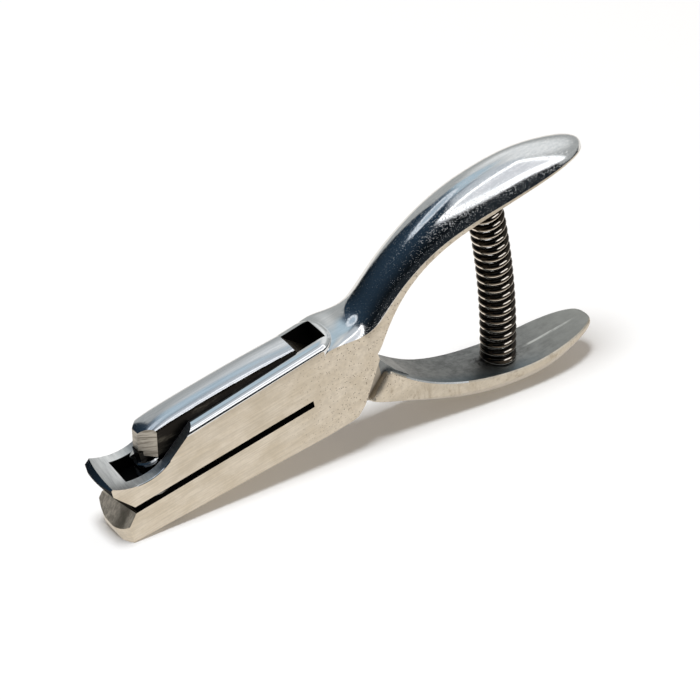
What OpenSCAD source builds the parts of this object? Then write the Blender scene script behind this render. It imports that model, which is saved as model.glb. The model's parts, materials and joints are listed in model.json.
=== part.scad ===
// Plier hole punch: a hand tool for tickets and cards. A frame forging carries the
// upper handle, the hollow body and both jaws. A lever forging carries the lower
// handle, crosses inside the body on one pin, and its arm drives the punch.
//
// Shapes are drawn in a frame that follows the paper slot: X runs rearwards from the
// mouth of the slot, Z is square to the slot, and Z = 0 is the slot's lower face.
// placed() then tips this frame so that the tool stands on its jaw and lower handle.

/* [Body] */
// Width of the body across its two ground sides
body_w = 11.6; // [11:0.1:13]
// Reach of the paper slot, from its mouth to its inner end
reach = 47.4; // [40:0.1:60]
// Height of the paper slot
slot_h = 1.6; // [1.2:0.1:2]
// Width of the channel that the lever works in
channel_w = 7.1; // [6.9:0.05:7.6]
// Height of the guide floor under the punch's well
guide_z = 4.2; // [3.6:0.1:4.3]
// Height of the rim beside the lever arm, at its front end
rim_z = 13.8; // [13.2:0.1:14.2]
// Radius of the rim's outer edge
rim_r = 2.1; // [1.2:0.1:2.2]
// Length of the window behind the slot's inner end
window_back = 7.6; // [5.6:0.1:9.6]
// Radius of the scoop milled into the upper jaw's nose
scoop_r = 14; // [13:0.5:15.5]
// Drop of the lower jaw's underside from the slot, at its front
jaw_drop = 7.2; // [6.5:0.1:8]
// Drop of the body's underside from the slot, at its rear
heel_drop = 10.1; // [9.6:0.1:11]

/* [Upper handle] */
// Half width of the upper handle at its widest
upper_half_w = 6.2; // [5.9:0.1:7]
// Thickness of the upper handle at its thickest
upper_thick = 9.7; // [8:0.1:11]
// Length that the upper handle reaches behind its thickest place
upper_tail = 25; // [20:0.5:32]

/* [Lever] */
// Half width of the lower handle at its widest
lower_half_w = 7; // [6:0.1:7.5]
// Depth of the lower handle at its deepest
lower_thick = 7; // [6:0.1:8]
// Length that the lower handle reaches behind its deepest place
lower_tail = 21.4; // [19:0.2:30]
// Height of the crown on top of the arm
crown_h = 2.4; // [1.8:0.1:3]
// Length from the slot's mouth to the front of the arm's nose
nose_x = 7; // [6.6:0.1:7.4]
// Width of the lobe that hangs inside the punch's fork
lobe_w = 3; // [2.6:0.1:3.2]

/* [Pivot] */
// Diameter of the pivot pin, ground flush with the body
pivot_d = 4.8; // [4:0.1:5]
// Distance of the pivot pin behind the slot's inner end
pivot_back = 5.3; // [5.1:0.1:6.6]
// Depth of the pivot pin below the slot
pivot_drop = 2.1; // [1.8:0.1:2.5]

/* [Punch and die] */
// Diameter of the punch's shank, which is the hole that it cuts
punch_d = 6; // [5.7:0.1:6.4]
// Distance of the punch behind the slot's mouth
punch_x = 8; // [7.5:0.1:8.5]
// Height of the punch's cutting edge above the slot's lower face, handles open
tip_z = 2; // [1.8:0.05:2.2]
// Diameter of the cross pin through the punch's fork
cross_d = 2; // [1.6:0.1:2.2]
// Outer diameter of the die
die_d = 9; // [8:0.1:9.4]
// Height of the die
die_h = 4; // [3:0.1:4.6]
// Diameter of the hole under the die that the chips fall through
chip_d = 7.2; // [6.6:0.1:7.6]

/* [Spring] */
// Outer diameter of the return spring
spring_d = 8.7; // [8:0.1:9.2]
// Diameter of the spring's wire
wire_d = 1.3; // [1:0.05:1.5]
// Number of curls in the spring
curls = 21; // [16:1:22]
// Diameter of the two studs that hold the spring's ends
stud_d = 4.6; // [3.8:0.1:4.8]
// Length of each stud inside the spring
stud_h = 3.6; // [3:0.1:5]

/* [Fits] */
// Clearance of the lever to each wall of its channel
lever_gap = 0.1; // [0.05:0.05:0.2]
// Clearance of the punch's head to each wall of the channel
head_gap = 0.1; // [0.05:0.05:0.2]
// Clearance of the lobe to each wall of the punch's fork
fork_gap = 0.1; // [0.05:0.05:0.2]
// Radial clearance of the lever on its pivot pin
pivot_gap = 0.05; // [0.02:0.01:0.09]
// Radial clearance of the punch in its guide
guide_gap = 0.04; // [0.02:0.01:0.09]
// Radial clearance of the punch in the die
die_gap = 0.05; // [0.02:0.01:0.09]
// Clearance of the cross pin in the lobe's slotted hole
cross_gap = 0.08; // [0.05:0.01:0.12]

/* [Hidden] */
$fn = 64;

half_w = body_w / 2;
lever_w = channel_w - 2 * lever_gap;
head_d = channel_w - 2 * head_gap;
far = 200;

// Places along the body that go by the slot's inner end
window_x = reach + window_back;
pivot_x = reach + pivot_back;

// Outline of the body, seen from its side
jaw_front = [-4.6, -3.4];
jaw_foot = [-3.9, -jaw_drop];
heel_front = reach + 1.6;
heel_rear = reach + 8.1;
heel_turn = [reach + 10, -9.8];
heel_top = [reach + 12.2, -7.8];
back_low = [reach + 18.4, 2.4];
back_mid = [reach + 17.2, 9.6];
back_top = reach + 15;
saddle_z = 13.5;
saddle_r = 3.1;
tip_under = [-4.9, 9.5];
tip_slope = 1.22;
tip_h = 12;
scoop_x = 5.2;
scoop_low = 7.3;
scoop_back = 10.4;
scoop_ramp = 34.5;
scoop_tilt = 7;
step_x = 16.9;
rim_slope = 2.2;
land_r = half_w + 1;
rim_end = window_x + 2.3 - land_r;
nose_round = 18;
land_sweep = 80;
foot_round = 8.4;
foot_shift = 0.5;
bevel_x = -1.05;
bevel_lean = 41;
bevel_turn = 10;

// The channel for the lever, seen from the side
well_x = 0.6;
channel_floor = -7.2;
channel_open = pivot_x + 1.3;
bridge_low = [window_x + 2.2, 8];
bridge_rear = [reach + 21, 6.2];

// The lever, seen from the side
pivot = [pivot_x, -pivot_drop];
boss_r = 4.1;
throat_x = pivot_x - boss_r - 0.2;
edge_z = 15.4;
crest_z = edge_z + crown_h;
arm_rear = reach - 0.2;
nose_near = -0.8;
nose_far = 1.5;
nose_taper = [3.6, 2.4];
nose_lean = 0.2;
crown_r = (pow(lever_w / 2, 2) + pow(crown_h, 2)) / (2 * crown_h);
nose_low = [nose_x - 0.3, 10];
nose_heel = [nose_x + 2, 9.2];
tongue_top = [reach + 19.3, 0.1];

// The punch's parts above its cutting edge
cross_z = tip_z + 4.2;
fork_floor = cross_z - 2;
head_z = cross_z + 1.6;
head_top = head_z + 1;
head_chamfer = 0.3;
pin_inset = 0.4;
fork_w = lobe_w + 2 * fork_gap;
lobe_front = punch_d / 2 - 1.1;
lobe_rear = punch_d / 2 - 0.5;
lobe_low = cross_z - 1.55;
pin_drift = 0.52;

// Handle sections run from the root to the tip. Each one has its widening, from 0 at
// the root to 1 at the widest, then the place of the edge by the grip, of the foot of
// the rounded side and of the crown, each as [x, z], with x from the slot's inner end.
upper_root = half_w - 0.06;
upper_x = 56.6;
upper_z = 22.9;
upper_sections = [
    [0, [15.2, 3.6], [13.9, 9], [13, 12.2]],
    [0, [18.5, 3.2], [17, 10.3], [16.2, 13.9]],
    [0, [20.5, 6.2], [19.6, 11.7], [18.9, 16.2]],
    [0, [23.6, 10.5], [22.8, 14.2], [22, 19.2]],
    [0, [27.8, 14.8], [26.8, 17.3], [25.8, 22]],
    [0.15, [32.6, 18.1], [31.6, 20.1], [30.6, 25]],
    [0.4, [38.1, 20.5], [37.2, 22.4], [36.4, 27.9]],
    [0.7, [43.6, 21.8], [43, 23.7], [42.4, 30.2]],
    [0.95, [49.6, 22.5], [49.4, 24.3], [49.1, 31.9]]];
upper_ends = [[1, 0, 1.5, 1], [0.98, 0.28, 1.3, 0.95], [0.92, 0.53, 1.1, 0.76],
              [0.78, 0.74, 1, 0.48], [0.54, 0.9, 0.8, 0.27], [0.2, 1, 0.4, 0.12]];
lower_root = 4.6;
lower_x = 58.6;
lower_z = -24;
lower_sections = [
    [0, [20, -3], [13.8, -8.4], [13, -9.3]],
    [0.3, [21.9, -5.2], [16.4, -10.4], [15.9, -11.1]],
    [0.3, [24.9, -8.2], [21.4, -13.3], [21, -14.3]],
    [0.39, [29.6, -12.6], [27.4, -16.7], [27, -18.3]],
    [0.56, [34.8, -16], [33.4, -19.7], [33, -22]],
    [0.77, [40.6, -18.9], [39.8, -22.3], [39.4, -25.4]],
    [0.91, [46.6, -21.1], [46.2, -24.2], [45.9, -28]],
    [1, [52.6, -22.8], [52.5, -25.4], [52.4, -29.8]]];
lower_ends = [[1, 0, 2.2, 1], [0.96, 0.25, 1.9, 0.94], [0.85, 0.49, 1.6, 0.7],
              [0.66, 0.7, 1.4, 0.44], [0.34, 0.87, 0.9, 0.24]];

// Sections behind the widest place. A row has its share of the widest, its share of
// the tail's length, the height of its flat side and its share of the thickness.
tail_rise = 0.9;
function tail(rows, x, z, length, thick, way) = [
    for (r = rows) let (rise = way * tail_rise * r[1]) [1,
        [x + length * r[1], z + rise],
        [x + length * r[1], z + rise + way * r[2]],
        [x + length * (r[1] + 0.02), z + rise + way * thick * r[3]], r[0]]];

// All rows of a handle, moved back to the slot's inner end
function from_mouth(rows) = [for (r = rows) concat([r[0]],
    [for (k = [1:3]) [r[k][0] + reach, r[k][1]]], len(r) > 4 ? [r[4]] : [])];
upper_rows = from_mouth(concat(upper_sections,
    tail(upper_ends, upper_x, upper_z, upper_tail, upper_thick, 1)));
lower_rows = from_mouth(concat(lower_sections,
    tail(lower_ends, lower_x, lower_z, lower_tail, lower_thick, -1)));

// Points of one handle section: the grip face is flat between two small bevels, and
// the outer side is a half ellipse that stands on the flat sides.
ring_n = 14;
bevel = 0.8;
function section(row, root, wide) = let (g = row[1], s = row[2], c = row[3],
        a = (root + (wide - root) * row[0]) * (len(row) > 4 ? row[4] : 1),
        b = min(bevel, a / 3), k = b / max(norm(s - g), 2 * b))
    concat(
        [[g[0], -(a - b), g[1]]],
        [[g[0] + (s[0] - g[0]) * k, -a, g[1] + (s[1] - g[1]) * k]],
        [for (i = [0:ring_n]) let (t = 180 * i / ring_n)
            [s[0] + (c[0] - s[0]) * sin(t), -a * cos(t), s[1] + (c[1] - s[1]) * sin(t)]],
        [[g[0] + (s[0] - g[0]) * k, a, g[1] + (s[1] - g[1]) * k]],
        [[g[0], a - b, g[1]]]);

// Handle solid through all of its sections, with the two ends closed
module swept(rings, way) {
    m = len(rings[0]);
    n = len(rings);
    sides = [for (i = [0:n - 2], j = [0:m - 1]) let (k = (j + 1) % m, p = i * m, q = p + m)
        each [[p + j, q + j, q + k], [p + j, q + k, p + k]]];
    ends = [for (j = [1:m - 2]) each [[0, j, j + 1],
        [(n - 1) * m, (n - 1) * m + j + 1, (n - 1) * m + j]]];
    all = concat(sides, ends);
    polyhedron(points = [for (r = rings) each r],
               faces = way > 0 ? all : [for (f = all) [f[2], f[1], f[0]]]);
}

upper_rings = [for (row = upper_rows) section(row, upper_root, upper_half_w)];
lower_rings = [for (row = lower_rows) section(row, lower_root, lower_half_w)];

// The tool stands on the foot of its lower jaw and on the belly of its lower handle
belly = [for (row = lower_rows) if (row[3][0] > heel_rear + 30) row[3]];
pitch = max([for (p = belly) atan2(jaw_foot[1] - p[1], p[0] - jaw_foot[0])]);
function row_x(p) = p[0] * cos(pitch) - p[2] * sin(pitch);
function row_z(p) = p[0] * sin(pitch) + p[2] * cos(pitch);
handle_points = concat([for (r = upper_rings) each r], [for (r = lower_rings) each r]);
x_low = row_x([tip_under[0], 0, tip_under[1]]);
x_high = max([for (p = handle_points) row_x(p)]);
z_low = row_z([jaw_foot[0], 0, jaw_foot[1]]);

module placed() translate([-(x_low + x_high) / 2, 0, -z_low]) rotate([0, -pitch, 0])
    children();

// Flat piece of one width, from an outline seen from the side
module plate(w) rotate([90, 0, 0]) linear_extrude(height = w, center = true) children();

// Long piece along the body, from a section seen from the front
module rail(x0, x1) translate([x0, 0, 0]) rotate([90, 0, 90])
    linear_extrude(height = x1 - x0) children();

// Points of an arc, and a section with a flat top and two round upper edges
function arc(x, y, r, from, to, n = 10) = [for (i = [0:n])
    let (t = from + (to - from) * i / n) [x + r * cos(t), y + r * sin(t)]];
module round_top(top, r) polygon(concat(
    [[-half_w, -far / 4], [half_w, -far / 4]],
    arc(half_w - r, top - r, r, 0, 90), arc(r - half_w, top - r, r, 90, 180)));

// Side of the body without the channel, the slot and the scoop
module body_side() polygon([
    [-3.1, 0], jaw_front, jaw_foot, [heel_front, -heel_drop], [heel_rear, -heel_drop],
    heel_turn, heel_top, back_low, back_mid, [back_top, saddle_z + 2],
    [step_x, saddle_z + 8], [tip_under[0], saddle_z + 8], tip_under,
    [0.3, slot_h], [5, slot_h], [5, 0]]);

// Room for the lever, which moves up at its rear and down at its front
module channel_side() polygon([
    [well_x, guide_z], [well_x, far / 4], [window_x, far / 4], [window_x, 9.4],
    bridge_low, bridge_rear, [far, bridge_rear[1]], [far, -far / 2],
    [channel_open, -far / 2], [channel_open, channel_floor],
    [throat_x, channel_floor], [throat_x, 2.6], [throat_x - 2.6, guide_z]]);

// Nose of the block: bowed in plan, with a slope ground round its upper edge
module nose_bow() translate([nose_round + tip_under[0], 0, 0]) {
    translate([0, 0, -far / 4]) cylinder(r = nose_round, h = far / 4 + tip_under[1], $fn = 96);
    translate([0, 0, tip_under[1]])
        cylinder(r1 = nose_round, r2 = nose_round - tip_slope * tip_h, h = tip_h, $fn = 96);
    translate([0, -far / 2, -far / 2]) cube(far);
}

// Plan of the round end of the land behind the window
module land_plan() polygon(concat([[-far, half_w + 1], [-far, -half_w - 1]],
    arc(rim_end, 0, land_r, -land_sweep, land_sweep, 16)));

// Body block with its rounded rim, the land behind the window and the saddle
module block() difference() {
    intersection() {
        plate(far / 2) body_side();
        nose_bow();
        union() {
            rail(-far / 4, far) round_top(saddle_z, saddle_r);
            intersection() {
                translate([step_x, 0, rim_z]) rotate([0, -rim_slope, 0])
                    translate([-step_x, 0, -rim_z]) rail(-far / 4, far) round_top(rim_z, rim_r);
                translate([0, 0, 2]) linear_extrude(height = far) land_plan();
            }
        }
    }
    // round foot of the lower jaw
    difference() {
        translate([-far / 4, -far / 4, -far / 4])
            cube([far / 4 + foot_round + jaw_front[0], far / 2, far / 4 + slot_h / 2]);
        translate([foot_round + jaw_front[0], foot_shift, 0]) {
            translate([0, 0, -far / 4]) cylinder(r = foot_round, h = far / 2);
            translate([-2, -far / 4, -far / 4]) cube([far, far / 2, far]);
        }
    }
    // bevel filed across the front of the foot
    intersection() {
        translate([bevel_x, 0, 0]) rotate([0, bevel_lean, bevel_turn])
            translate([-far / 8, -far / 8, -far / 8]) cube([far / 8, far / 4, far / 4]);
        translate([-far / 4, -far / 4, -far / 4]) cube([far / 4 + 3, far / 2, far / 4 + slot_h / 2]);
    }
}

// Side of the scoop: a wide curve at the nose, a tighter one behind it and a ramp
module scoop_side() let (x = scoop_x + scoop_back * sin(scoop_ramp),
        z = scoop_low + scoop_back * (1 - cos(scoop_ramp)), run = far / 8)
    polygon(concat(
        arc(scoop_x, scoop_low + scoop_r, scoop_r, 200, 270, 16),
        arc(scoop_x, scoop_low + scoop_back, scoop_back, 274, 270 + scoop_ramp, 8),
        [[x + run * cos(scoop_ramp), z + run * sin(scoop_ramp)], [x + run, far / 4],
        [-run, far / 4]]));

module body() color([0.78, 0.77, 0.75]) placed() difference() {
    union() {
        block();
        swept(upper_rings, -1);
    }
    // paper slot with its rounded inner end
    translate([4, -far / 2, 0]) cube([reach - 4 - slot_h / 2, far, slot_h]);
    translate([reach - slot_h / 2, 0, slot_h / 2]) rotate([90, 0, 0])
        cylinder(d = slot_h, h = far, center = true, $fn = 32);
    // scoop milled into the nose, leaning a little to the near side
    rotate([scoop_tilt, 0, 0]) plate(far) scoop_side();
    // channel, guide bore, pivot bore, die seat, chip hole and stud hole
    plate(channel_w) channel_side();
    translate([punch_x, 0, slot_h / 2]) cylinder(r = punch_d / 2 + guide_gap, h = guide_z);
    translate([pivot[0], 0, pivot[1]]) rotate([90, 0, 0])
        cylinder(d = pivot_d, h = far, center = true);
    translate([punch_x, 0, -die_h]) cylinder(d = die_d, h = die_h + slot_h / 2);
    translate([punch_x, 0, -far / 4]) cylinder(d = chip_d, h = far / 4);
    upper_seat() stud_shank();
}

// Spring seats: the places on the two grip faces, as [x, z], where the bowed axis of
// the spring meets them, and the slope of the face there
function between(a, b, t) = a + (b - a) * t;
function slope(a, b) = atan2(b[1] - a[1], b[0] - a[0]);
low_a = lower_rows[6][1];
low_b = lower_rows[7][1];
high_a = upper_rows[8][1];
high_b = upper_rows[9][1];
seat_low = between(low_a, low_b, 0.77);
seat_high = between(high_a, high_b, 0.76);
slope_low = -slope(low_a, low_b);
slope_high = slope(high_a, high_b);
spring_bow = 1.3;
shank_d = 3;
shank_h = 2.6;
stud_lead = 0.6;
module lower_seat() translate([seat_low[0], 0, seat_low[1]]) rotate([0, slope_low, 0])
    children();
module upper_seat() translate([seat_high[0], 0, seat_high[1]])
    rotate([0, 180 - slope_high, 0]) children();
module stud_shank() translate([0, 0, -shank_h]) cylinder(d = shank_d, h = shank_h + 1);
module stud() {
    cylinder(d = stud_d, h = stud_h - stud_lead);
    translate([0, 0, stud_h - stud_lead])
        cylinder(d1 = stud_d, d2 = stud_d - 2 * stud_lead, h = stud_lead);
    translate([0, 0, -shank_h]) cylinder(d = shank_d, h = shank_h + 0.5);
}
module upper_spring_stud() color([0.5, 0.5, 0.52]) placed() upper_seat() stud();
module lower_spring_stud() color([0.5, 0.5, 0.52]) placed() lower_seat() stud();

// Side of the lever inside the body, with its arm above and its tongue behind
module lever_side() polygon([
    [nose_x - 1, crest_z + 2], [nose_x - 1, nose_low[1]], nose_low, nose_heel,
    [14, 8.8], [reach - 2.9, 6.2], [reach - 1, 5.2], [pivot_x - 3.6, 3.1],
    [pivot_x - boss_r, -pivot_drop],
    [pivot_x - 2.9, -pivot_drop - 2.9], [pivot_x, -pivot_drop - boss_r],
    [reach + 11.4, -8.1], [reach + 14.2, -9.2], [reach + 20.6, -13], [reach + 25.6, -13],
    [reach + 28.1, -11.2], [reach + 25.6, -7.4], [reach + 22.6, -4], tongue_top,
    [reach + 18, 1.1], [reach + 10.6, 4.6], [arm_rear + 5.4, 9.4], [arm_rear, edge_z],
    [arm_rear - 1.6, crest_z + 2]]);

// Plan of the arm: a narrow front facet between two broad chamfers, leaning forwards
// at the bottom
module arm_plan() polygon([
    [nose_x + 0.2, nose_near], [nose_x + nose_taper[0], -lever_w / 2], [far, -lever_w / 2],
    [far, lever_w / 2], [nose_x + nose_taper[1], lever_w / 2], [nose_x + 0.2, nose_far]]);
module arm_front() multmatrix([[1, 0, nose_lean, -nose_lean * edge_z], [0, 1, 0, 0],
                               [0, 0, 1, 0]])
    translate([0, 0, -far / 4]) linear_extrude(height = far / 2) arm_plan();

module lever() color([0.72, 0.72, 0.72]) placed() difference() {
    union() {
        intersection() {
            plate(lever_w) lever_side();
            arm_front();
            union() {
                translate([-far / 2, -far / 2, -far]) cube([far, far, far + edge_z]);
                translate([0, 0, crest_z - crown_r]) rotate([0, 90, 0])
                    cylinder(r = crown_r, h = far, $fn = 96);
            }
            // the crown runs down to the nose
            plate(far) polygon([
                [0, -far / 4], [far, -far / 4], [far, crest_z - 0.8],
                [arm_rear, crest_z - 0.8], [reach - 13.4, crest_z + 0.2],
                [nose_x + 9, crest_z], [nose_x + 4.5, crest_z - 0.4],
                [nose_x + 2, crest_z - 1], [nose_x + 0.6, crest_z - 1.8], [0, crest_z - 7]]);
        }
        // lobe inside the punch's fork
        plate(lobe_w) polygon([
            [punch_x - lobe_front, 11], [punch_x - lobe_front, lobe_low + 0.4],
            [punch_x - lobe_front + 0.4, lobe_low], [punch_x + lobe_rear - 0.4, lobe_low],
            [punch_x + lobe_rear, lobe_low + 0.4], [punch_x + lobe_rear, 11]]);
        swept(lower_rings, 1);
    }
    translate([pivot[0], 0, pivot[1]]) rotate([90, 0, 0])
        cylinder(r = pivot_d / 2 + pivot_gap, h = far, center = true);
    // slotted hole that lets the cross pin drift as the arm swings
    plate(far) {
        translate([punch_x, cross_z]) circle(r = cross_d / 2 + cross_gap);
        translate([punch_x + pin_drift, cross_z]) circle(r = cross_d / 2 + cross_gap);
        translate([punch_x, cross_z - cross_d / 2 - cross_gap])
            square([pin_drift, cross_d + 2 * cross_gap]);
    }
    lower_seat() stud_shank();
}

module pivot_pin() color([0.7, 0.69, 0.67]) placed()
    translate([pivot[0], 0, pivot[1]]) rotate([90, 0, 0])
        cylinder(d = pivot_d, h = body_w, center = true);

module punch() color([0.82, 0.82, 0.84]) placed() translate([punch_x, 0, 0])
    difference() {
        union() {
            translate([0, 0, tip_z]) cylinder(d = punch_d, h = head_z - tip_z);
            translate([0, 0, head_z])
                cylinder(d = head_d, h = head_top - head_z - head_chamfer);
            translate([0, 0, head_top - head_chamfer])
                cylinder(d1 = head_d, d2 = head_d - 2 * head_chamfer, h = head_chamfer);
        }
        translate([-far / 2, -fork_w / 2, fork_floor]) cube([far, fork_w, far]);
        translate([0, 0, cross_z]) rotate([90, 0, 0]) cylinder(d = cross_d, h = far,
                                                               center = true);
    }

module cross_pin() color([0.6, 0.6, 0.62]) placed() translate([punch_x, 0, cross_z])
    rotate([90, 0, 0]) cylinder(d = cross_d, h = punch_d - 2 * pin_inset, center = true);

module die() color([0.55, 0.55, 0.57]) placed() translate([punch_x, 0, -die_h])
    difference() {
        cylinder(d = die_d, h = die_h);
        translate([0, 0, -1]) cylinder(r = punch_d / 2 + die_gap, h = die_h + 2);
    }

// Return spring: one wire, wound on an axis that bows to the rear, its two ends
// turned to stand square to the handles' faces
coil_r = (spring_d - wire_d) / 2;
steps = 8;
sides = 6;
span = [seat_high[0] - seat_low[0], seat_high[1] - seat_low[1]];
function axis_at(u) = [seat_low[0] + span[0] * u + 4 * spring_bow * u * (1 - u), 0,
                       seat_low[1] + span[1] * u];
end_gap = 0.08;
bend_rise = 1.35 * wire_d;
function lead(tilt) = (bend_rise + coil_r * sin(tilt)) / cos(tilt) / span[1];
lead_low = lead(slope_low);
lead_high = lead(slope_high);
function coil_at(i) = let (a = 180 + 360 * i / steps,
        u = lead_low + (1 - lead_low - lead_high) * i / (steps * curls))
    axis_at(u) + [coil_r * cos(a), coil_r * sin(a), 0];
coil = [for (i = [0:steps * curls]) coil_at(i)];
out_low = [sin(slope_low), 0, cos(slope_low)];
out_high = [sin(slope_high), 0, -cos(slope_high)];
function stub(p, seat, out) = let (q = [seat[0], 0, seat[1]],
    foot = p - out * ((p - q) * out - end_gap)) [foot, foot + out * wire_d];
foot_stub = stub(coil[0], seat_low, out_low);
head_stub = stub(coil[len(coil) - 1], seat_high, out_high);
wire_path = concat(foot_stub, [for (i = [1:len(coil) - 2]) coil[i]],
                   [head_stub[1], head_stub[0]]);
function unit(v) = v / norm(v);
function heading(p, i) = i == 0 ? out_low : i == len(p) - 1 ? -out_high
    : unit(p[i + 1] - p[i - 1]);
function wire_ring(p, i) = let (d = heading(p, i), mid = axis_at((p[i][2] - seat_low[1])
            / span[1]), out = unit([p[i][0] - mid[0], p[i][1], 0]),
        e = unit(out - d * (out * d)), f = cross(d, e))
    [for (k = [0:sides - 1]) p[i] + wire_d / 2 * (cos(360 * k / sides) * e
                                                + sin(360 * k / sides) * f)];
least_gap = min([for (i = [0:len(wire_path) - 1], j = [i + steps - 2:i + steps + 2])
    if (j < len(wire_path)) norm(wire_path[j] - wire_path[i])]) - wire_d;
echo(least_gap_of_the_spring_to_itself = least_gap);
module return_spring() color([0.85, 0.83, 0.8]) placed()
    swept([for (i = [0:len(wire_path) - 1]) wire_ring(wire_path, i)], -1);

body();
lever();
pivot_pin();
punch();
cross_pin();
die();
return_spring();
upper_spring_stud();
lower_spring_stud();
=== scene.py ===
"""Looks of the plier hole punch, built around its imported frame.

The tool is drawn in millimetres in the frame of its paper slot, as in its source: X runs
rearwards from the slot's mouth, Z is square to the slot and Z = 0 is the slot's lower face.
Every finished piece is then put in place with one matrix that the frame's own joints give.
"""
import json
import math

import bpy
from mathutils import Matrix, Vector
from mathutils.kdtree import KDTree


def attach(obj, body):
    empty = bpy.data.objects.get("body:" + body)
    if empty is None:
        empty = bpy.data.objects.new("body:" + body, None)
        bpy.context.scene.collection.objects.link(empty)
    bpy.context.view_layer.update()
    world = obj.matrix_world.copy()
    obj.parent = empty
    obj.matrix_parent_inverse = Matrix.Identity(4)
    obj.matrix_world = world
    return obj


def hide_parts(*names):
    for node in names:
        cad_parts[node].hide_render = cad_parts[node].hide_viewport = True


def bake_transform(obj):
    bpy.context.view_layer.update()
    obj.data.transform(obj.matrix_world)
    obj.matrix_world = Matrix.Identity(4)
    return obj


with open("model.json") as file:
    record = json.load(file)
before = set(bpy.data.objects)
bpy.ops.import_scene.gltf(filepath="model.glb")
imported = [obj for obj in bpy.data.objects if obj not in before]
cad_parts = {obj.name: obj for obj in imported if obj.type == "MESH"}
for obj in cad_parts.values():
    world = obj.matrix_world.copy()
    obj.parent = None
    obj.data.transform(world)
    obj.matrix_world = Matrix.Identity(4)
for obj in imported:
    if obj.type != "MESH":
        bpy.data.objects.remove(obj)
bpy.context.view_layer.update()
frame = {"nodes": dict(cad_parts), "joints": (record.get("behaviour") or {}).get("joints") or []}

# Slot frame
# The punch slides square to the paper slot, so its axis gives the tilt of the slot, and
# the lever's hinge gives the place of the pivot pin.
PIVOT_X, PIVOT_Z = 52.7, -2.1
MILLIMETRE = 0.001
joints = {joint["name"]: joint for joint in frame["joints"]}
punch_axis = Vector(joints["punch_slide"]["axis"])
pitch = math.atan2(punch_axis.x, -punch_axis.z)
tilt = Matrix.Rotation(-pitch, 4, "Y")
slot_frame = (Matrix.Translation(joints["lever_pivot"]["pos_m"]) @ tilt
              @ Matrix.Scale(MILLIMETRE, 4) @ Matrix.Translation((-PIVOT_X, 0, -PIVOT_Z)))

# Camera
# A long lens looks down on the near side from in front of the jaws, as the photographer
# did. Its place and its three directions are given in the slot frame.
EYE = Vector((-156.11, -457.74, 447.1))
RIGHT = (0.81377, -0.55484, -0.17297)
UP = (0.48274, 0.47957, 0.73279)
BACK = (-0.32363, -0.67983, 0.6581)
LENS = 154.3
SENSOR = 36
bpy.ops.object.camera_add()
camera = bpy.context.object
camera.name = "photo_camera"
camera.data.lens = LENS
camera.data.sensor_width = SENSOR
camera.data.clip_start = 0.01
turn = tilt @ Matrix((RIGHT, UP, BACK)).transposed().to_4x4()
camera.matrix_world = Matrix.Translation(slot_frame @ EYE) @ turn
bpy.context.scene.camera = camera

# Studio
# A white table in a room that polished steel shows: dark in front and to the left, pale
# behind and to the right, with one large softbox. The camera itself sees white all round.


class Shade:
    """A socket of a material's nodes, on which sums are written as Python writes them."""

    def __init__(self, tree, socket=None):
        self.tree, self.socket = tree, socket

    def node(self, kind, values=(), output=0, stops=(), **settings):
        """A new node: its settings come first, then the values or links of its inputs."""
        made = self.tree.nodes.new("ShaderNode" + kind)
        for name, value in settings.items():
            setattr(made, name, value)
        for index, (place, colour) in enumerate(stops):
            if index >= 2:
                made.color_ramp.elements.new(place)
            made.color_ramp.elements[index].position = place
            made.color_ramp.elements[index].color = (*colour, 1)
        for name, value in dict(values).items():
            if isinstance(value, Shade):
                self.tree.links.new(value.socket, made.inputs[name])
            else:
                made.inputs[name].default_value = value
        return Shade(self.tree, made.outputs[output] if made.outputs else None)

    def sum(self, operation, *values):
        """One Math node on numbers or sockets."""
        return self.node("Math", enumerate(values), operation=operation)

    def __add__(self, other):
        return self.sum("ADD", self, other)

    def __radd__(self, other):
        return self.sum("ADD", other, self)

    def __sub__(self, other):
        return self.sum("SUBTRACT", self, other)

    def __rsub__(self, other):
        return self.sum("SUBTRACT", other, self)

    def __mul__(self, other):
        return self.sum("MULTIPLY", self, other)

    def __rmul__(self, other):
        return self.sum("MULTIPLY", other, self)

    def between(self, low, high):
        """0 below low, 1 above high, and a soft step from one to the other."""
        return self.node("MapRange", {"Value": self, "From Min": low, "From Max": high},
                         interpolation_type="SMOOTHSTEP")

    def mix(self, first, second):
        """The first colour where this is 0, the second where it is 1."""
        first, second = ((*c, 1) if isinstance(c, tuple) else c for c in (first, second))
        return self.node("Mix", {0: self, 6: first, 7: second}, 2, data_type="RGBA")


WHITE = (1.0, 1.0, 1.0)
world = bpy.data.worlds.new("studio")
bpy.context.scene.world = world
world.use_nodes = True
world.node_tree.nodes.clear()
sky = Shade(world.node_tree)
heading = sky.node("VectorRotate", {"Vector": sky.node("TexCoord"), "Angle": pitch},
                   rotation_type="Y_AXIS")
x, y, z = (sky.node("SeparateXYZ", {0: heading}, i) for i in range(3))
DEGREE = 180 / math.pi
azimuth = sky.sum("ARCTAN2", y, x) * DEGREE
height = sky.sum("ARCSINE", z) * DEGREE


def window(west, east, low, high, soft):
    """1 inside a part of the room, given in degrees round the tool and above the slot."""
    inside = azimuth.between(west - soft, west + soft) * height.between(low - soft, low + soft)
    return (inside * (1 - azimuth.between(east - soft, east + soft))
            * (1 - height.between(high - soft, high + soft)))


# dark walls, then the pale ones behind with a bright band, and the ceiling
room = height.between(0, 55).mix((0.004, 0.006, 0.008), (0.018, 0.036, 0.058))
room = window(-50, 103, -91, 91, 2).mix(room, (0.44, 0.45, 0.44))
room = window(-40, 62, 22, 62, 14).mix(room, (0.90, 0.91, 0.90))
ceiling = x.between(-0.05, 0.2).mix((0.07, 0.10, 0.14), (0.50, 0.62, 0.70))
room = height.between(58, 72).mix(room, ceiling)

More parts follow.
